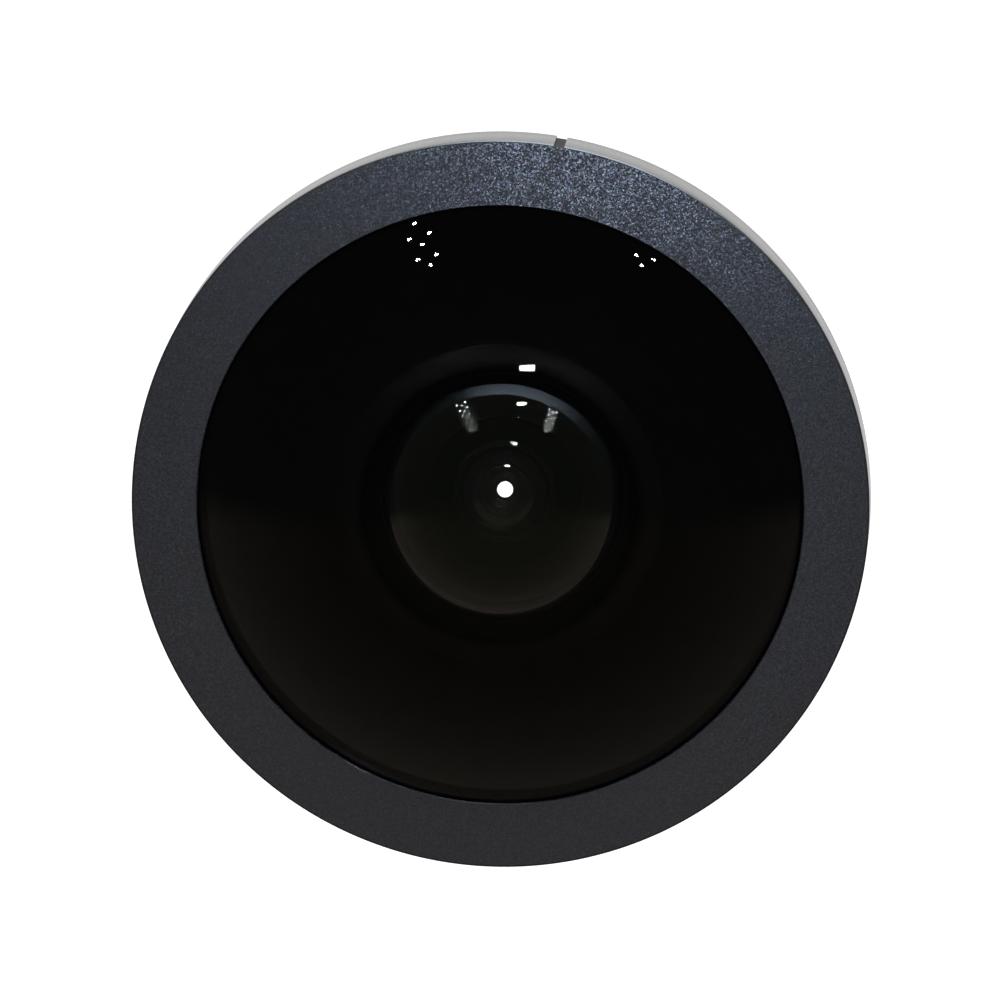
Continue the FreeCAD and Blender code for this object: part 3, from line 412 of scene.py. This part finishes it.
def makeNotchTool():
    bm = bmesh.new()
    block = bmesh.ops.create_cube(bm, size=1.0)["verts"]
    bmesh.ops.scale(bm, verts=block, vec=(bezel["notchWidth"] * mm, bezel["length"] * 1.5 * mm,
                                          2 * bezel["notchDepth"] * mm))
    bmesh.ops.translate(bm, verts=block, vec=(0, depthToY(bezel["front"] + bezel["length"] / 2),
                                              bezel["radius"] * mm))
    bmesh.ops.rotate(bm, verts=block, cent=(0, 0, 0),
                     matrix=Matrix.Rotation(math.radians(bezel["notchAngle"]), 3, "Y"))
    # the notch's cut faces take the painted-shade black
    for face in bm.faces:
        face.material_index = notchSlot
    return finishPiece(bm, "notchTool")


def makeFrontBezel():
    front = bezel["front"]
    back = front + bezel["length"]
    points = [(bezel["wallInside"], back - bezel["rearBevel"]),
              (bezel["wallInside"] + bezel["rearBevel"], back),
              (bezel["radius"], back),
              (bezel["radius"], front + bezel["lipDrop"]),
              (bezel["lipHole"] + bezel["lipBevel"], front),
              (bezel["lipHole"], front + bezel["lipBevel"]),
              (bezel["lipHole"], bezel["clampDepth"]),
              (bezel["clampRadius"], bezel["underside"]),
              (bezel["wallInside"], bezel["underside"])]
    bm, corners = newSection(points)
    roundCorner(bm, corners[3], bezel["outerRound"], 7)
    roundCorner(bm, corners[2], bezel["rearBevel"], 4)
    turnSection(bm, bezel["steps"])
    piece = finishPiece(bm, "frontBezel")
    tool = makeNotchTool()
    for finish in bezelFinishes:
        piece.data.materials.append(finish)
        tool.data.materials.append(finish)
    for face in piece.data.polygons:
        away = math.hypot(face.center.x, face.center.z)
        onSide = away > (bezel["radius"] - bezel["outerRound"]) * mm
        face.material_index = sideSlot if onSide else faceSlot

    cut = piece.modifiers.new("notch", "BOOLEAN")
    cut.object = tool
    cut.operation = "DIFFERENCE"
    cut.solver = "EXACT"
    cut.material_mode = "INDEX"
    bpy.context.view_layer.update()
    whole = bpy.data.meshes.new_from_object(piece.evaluated_get(bpy.context.evaluated_depsgraph_get()))
    piece.modifiers.clear()
    piece.data = whole
    bpy.data.objects.remove(tool)
    whole.shade_smooth()
    whole.set_sharp_from_angle(angle=sharpAngle)
    return piece


# the seven lenses; each face has its curve, its bow (1 bulges to the front, -1 to the rear) and its rim
lenses = {
    "lens_1": {"crown": 0.0, "front": (23.0, 1, 18.0), "thick": 4.43, "rear": (8.7, 1, 8.128),
               "edge": 18.0, "index": 1.5168, "coating": (0.55, 0.62, 0.60, 1)},
    "lens_2": {"crown": 10.4313, "front": (51.94, 1, 9.2), "thick": 1.364, "rear": (5.91, 1, 5.4),
               "edge": 9.2, "index": 1.6204, "coating": (0.78, 1.0, 0.68, 1)},
    "lens_3": {"crown": 18.2303, "front": (10.0, -1, 4.8), "thick": 1.566, "rear": (5.62, 1, 4.3),
               "edge": 8.0, "index": 1.6204, "coating": (0.60, 0.50, 0.75, 1)},
    "lens_4": {"crown": 22.1463, "front": (18.97, 1, 6.8), "thick": 6.385, "rear": (11.13, -1, 6.8),
               "edge": 6.8, "index": 1.8467, "coating": (0.70, 0.60, 0.45, 1)},
    "lens_5": {"crown": 34.3976, "front": (27.98, -1, 3.75), "thick": 3.995, "rear": (4.08, -1, 3.75),
               "edge": 3.75, "index": 1.6180, "coating": (0.5, 0.6, 0.6, 1)},
    "lens_6": {"crown": 38.3906, "front": (4.08, -1, 3.75), "thick": 1.502, "rear": (8.07, -1, 3.75),
               "edge": 3.75, "index": 1.8467, "coating": (0.5, 0.6, 0.5, 1)},
    "lens_7": {"crown": 40.0426, "front": (10.43, 1, 4.4), "thick": 1.872, "rear": (47.14, -1, 4.4),
               "edge": 4.4, "index": 1.6180, "coating": (0.4, 0.5, 0.8, 1)},
}
lensSteps = 192
arcSteps = 36
glassSlot, paintSlot = range(2)


def makeLens(name, size):
    bm = bmesh.new()
    frontRim = sphereArc(bm, size["crown"], *size["front"], arcSteps)
    rearRim = sphereArc(bm, size["crown"] + size["thick"], *size["rear"], arcSteps)
    edge = size["edge"] * mm
    # where the face ends short of the edge, a flat land goes on to it
    landed = [rim for rim, face in ((frontRim, "front"), (rearRim, "rear")) if size[face][2] < size["edge"]]
    corners = [bm.verts.new((edge, rim.co.y, 0)) for rim in landed]
    chain = [frontRim, *corners, rearRim]
    for first, second in zip(chain, chain[1:]):
        bm.edges.new((first, second))
    lands = [rim.co.copy() for rim in landed]
    turnSection(bm, lensSteps)
    # the ground edge and flat lands are painted black
    for face in bm.faces:
        middle = face.calc_center_median()
        away = math.hypot(middle.x, middle.z)
        onEdge = abs(face.normal.y) < 0.02 and away > edge * 0.99
        flat = abs(abs(face.normal.y) - 1) < 1e-5
        onLand = flat and any(away > rim.x and abs(middle.y - rim.y) < 1e-6 for rim in lands)
        face.material_index = paintSlot if onEdge or onLand else glassSlot
    piece = finishPiece(bm, name.replace("lens_", "glass"))
    glass = makeCoatedGlass(name.replace("lens_", "coatedGlass"), size["index"], size["coating"])
    for finish in (glass, edgePaint):
        piece.data.materials.append(finish)
    return piece


frontBezel = makeFrontBezel()
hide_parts("front_bezel")
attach(frontBezel, "optics")

glassPieces = []
for node, size in lenses.items():
    glass = makeLens(node, size)
    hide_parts(node)
    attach(glass, "optics")
    glassPieces.append(glass)
print("stage: bezel and lenses made")


# nodes that keep their shape and get a finish
finishes = {"mount_base": "mountBlack", "ring_nut": "mountBlack", "guide_screws": "screwSteel",
            "focus_ring": "ringBlack", "lock_pad": "padBrass", "lock_screw": "screwSteel",
            "lens_barrel": "barrelBlack", "front_seal": "sealRubber", "lens_2_retainer": "innerBlack",
            "spacer_2_3": "innerBlack", "spacer_3_4": "innerBlack", "aperture_stop": "stopBlack",
            "spacer_stop_5": "innerBlack", "spacer_6_7": "innerBlack", "rear_retainer": "innerBlack"}
for node, name in finishes.items():
    item = frame["nodes"][node]
    if not item.material_slots:
        item.data.materials.append(nodeFinishes[name])
    for place in item.material_slots:
        place.material = nodeFinishes[name]
print("stage: finishes given to the kept nodes")


# camera at the photograph's angle
view = {"azimuth": 3.345, "elevation": 10.436, "distance": 600.0, "aim": (0.019, -30.493, 0.372),
        "pixelsPerMm": 17.614, "imageWidth": 1000, "sensor": 36.0, "near": 0.01, "far": 50}


def makeCamera():
    turn = math.radians(view["azimuth"])
    rise = math.radians(view["elevation"])
    toward = Vector((math.sin(turn) * math.cos(rise), -math.cos(turn) * math.cos(rise), math.sin(rise)))
    data = bpy.data.cameras.new("camera")
    data.sensor_width = view["sensor"]
    data.lens = view["pixelsPerMm"] * view["distance"] * view["sensor"] / view["imageWidth"]
    data.clip_start = view["near"]
    data.clip_end = view["far"]
    camera = bpy.data.objects.new("camera", data)
    scene.collection.objects.link(camera)
    camera.location = Vector(view["aim"]) * mm + toward * view["distance"] * mm
    camera.rotation_euler = (-toward).to_track_quat("-Z", "Y").to_euler()
    bpy.context.scene.camera = camera


# plain pale floor, which the part doesn't mirror
floorSize = {"radius": 3.0, "height": -0.15, "segments": 96}


def makeFloor():
    bm = bmesh.new()
    bmesh.ops.create_circle(bm, cap_ends=True, segments=floorSize["segments"], radius=floorSize["radius"])
    bmesh.ops.translate(bm, verts=bm.verts, vec=(0, 0, floorSize["height"]))
    bmesh.ops.recalc_face_normals(bm, faces=bm.faces)
    floor = finishPiece(bm, "floor")
    material, tree, shader, vector = startMaterial("paleFloor")
    fillInputs(tree, shader, {"Base Color": (0.86, 0.86, 0.86, 1), "Roughness": 0.8,
                              "Emission Color": (1, 1, 1, 1), "Emission Strength": 1.0})
    floor.data.materials.append(material)
    floor.visible_glossy = False
    floor.visible_transmission = False
    floor.visible_diffuse = False


makeCamera()
makeFloor()


# The soft lamps light everything but the glass, in which they would show as wide white patches;
# the small bright lamps light only the glass, in which they show.
softLit = bpy.data.collections.new("lit by the soft lamps")
glassLit = bpy.data.collections.new("lit by the small lamps")
shaded = [frame["nodes"][node] for node in ("front_seal", "lens_2_retainer", "spacer_2_3", "spacer_3_4",
                                            "aperture_stop", "spacer_stop_5", "spacer_6_7")]
for item in bpy.data.objects:
    if item.type == "MESH" and item not in shaded:
        (glassLit if item in glassPieces else softLit).objects.link(item)
softAim = (0, -20, 0)
crownAim = (0, -38, 0)


def addLamp(name, place, aim, size, power, colour, receivers, shape="RECTANGLE"):
    data = bpy.data.lights.new(name, "AREA")
    data.shape = shape
    data.size, data.size_y = (side * mm for side in size)
    data.energy = power
    data.color = colour
    lamp = bpy.data.objects.new(name, data)
    scene.collection.objects.link(lamp)
    lamp.location = Vector(place) * mm
    lamp.rotation_euler = (Vector(aim) - Vector(place)).to_track_quat("-Z", "Y").to_euler()
    lamp.visible_camera = False
    lamp.light_linking.receiver_collection = receivers


softLamps = {
    "overheadLamp": {"place": (25, -75, 135), "size": (120, 150), "power": 0.74,
                     "colour": (0.74, 0.87, 1.0)},
    "frontFill": {"place": (-20, -400, -210), "size": (640, 900), "power": 0.375,
                  "colour": (1.0, 0.98, 1.0)},
    "rearFill": {"place": (60, 160, 300), "size": (220, 220), "power": 0.5,
                 "colour": (1.0, 1.0, 1.0)},
    "leftBar": {"place": (-59, 5, 140), "size": (16, 165), "power": 0.06,
                "colour": (1.0, 0.97, 0.95)},
    "rightBar": {"place": (80, 20, 140), "size": (16, 165), "power": 0.06,
                 "colour": (1.0, 0.97, 0.95)},
}
for name, lamp in softLamps.items():
    addLamp(name, lamp["place"], softAim, lamp["size"], lamp["power"], lamp["colour"], softLit)

# two bars of small lamps overhead, three staggered rows in each
bars = {"height": 140.0, "rows": 8, "rowStep": (-2.064, 20.327), "lampSize": 2.9, "radiance": 85.0,
        "colour": (1.0, 0.97, 0.96),
        "starts": [(-60.01, -69.48), (-52.33, -77.48), (-46.54, -69.03),
                   (80.09, -49.37), (87.72, -55.73), (93.28, -45.36)]}
for column, (startX, startY) in enumerate(bars["starts"]):
    for row in range(bars["rows"]):
        place = (startX + row * bars["rowStep"][0], startY + row * bars["rowStep"][1], bars["height"])
        area = math.pi * (bars["lampSize"] / 2 * mm) ** 2
        addLamp(f"barLamp{column}{row}", place, crownAim, (bars["lampSize"],) * 2,
                bars["radiance"] * math.pi * area, bars["colour"], glassLit, "DISK")

# two bright windows in front
windows = {"upperWindow": {"place": (33.6, -276.4, 185.9), "size": (23.0, 9.5), "radiance": 60.0},
           "lowerWindow": {"place": (15.4, -327.4, 80.8), "size": (9.0, 4.0), "radiance": 32.0}}
for name, window in windows.items():
    wide, high = window["size"]
    area = wide * mm * high * mm
    addLamp(name, window["place"], crownAim, window["size"], window["radiance"] * math.pi * area,
            (1.0, 1.0, 1.0), glassLit)


# The room's light differs by how many glass faces it has come through: full strength on the outside,
# faint through the front glass only, and strong through all the lenses.
room = {"outside": 0.88, "always": 0.12, "through": 2.5, "allFaces": 8.5, "glow": 0.03,
        "behindFrom": 0.55, "behindTo": 0.62, "belowFrom": -0.13, "belowTo": -0.25,
        "asideFrom": -0.6, "asideTo": 0.1, "asideLow": 0.025, "asideHigh": 0.115,
        "warm": (1.0, 0.82, 0.68, 1)}


def makeWorld():
    world = bpy.data.worlds.new("studio")
    scene.world = world
    world.use_nodes = True
    tree = world.node_tree
    tree.nodes.clear()
    direction = addNode(tree, "ShaderNodeTexCoord", {})["Generated"]
    parts = addNode(tree, "ShaderNodeSeparateXYZ", {"Vector": direction})
    rays = addNode(tree, "ShaderNodeLightPath", {})
    depth = rays["Transmission Depth"]
    outside = addMath(tree, "MULTIPLY", addMath(tree, "LESS_THAN", depth, 0.5), room["outside"])
    inside = addMath(tree, "GREATER_THAN", depth, room["allFaces"])
    through = addMath(tree, "MULTIPLY", inside, room["through"])
    strength = addMath(tree, "ADD", addMath(tree, "ADD", outside, room["always"]), through)
    facing = addRange(tree, parts["Y"], room["behindFrom"], room["behindTo"], 0.0, 1.0)
    behind = addMath(tree, "MULTIPLY", facing, strength)
    below = addRange(tree, parts["Z"], room["belowFrom"], room["belowTo"], 0.0, 1.0)
    aside = addRange(tree, parts["Y"], room["asideFrom"], room["asideTo"],
                     room["asideLow"], room["asideHigh"])
    rest = addMath(tree, "ADD", addMath(tree, "MULTIPLY", below, aside), room["glow"])
    warmth = addMath(tree, "SUBTRACT", below, behind, clamp=True)
    lit = addNode(tree, "ShaderNodeBackground", {
        "Color": addMix(tree, warmth, (1, 1, 1, 1), room["warm"]),
        "Strength": addMath(tree, "ADD", behind, rest)})
    white = addNode(tree, "ShaderNodeBackground", {"Color": (1, 1, 1, 1), "Strength": 1.0})
    mix = addNode(tree, "ShaderNodeMixShader", {"Fac": rays["Is Camera Ray"], 1: lit["Background"],
                                                2: white["Background"]})
    addNode(tree, "ShaderNodeOutputWorld", {"Surface": mix["Shader"]})


makeWorld()
scene.view_settings.view_transform = "Standard"
# light has to get through fourteen glass faces and back
scene.cycles.sample_clamp_indirect = 0
scene.cycles.max_bounces = 32
scene.cycles.transmission_bounces = 32
scene.cycles.glossy_bounces = 16
scene.cycles.caustics_reflective = True
scene.cycles.caustics_refractive = True
print("stage: camera and lights made")
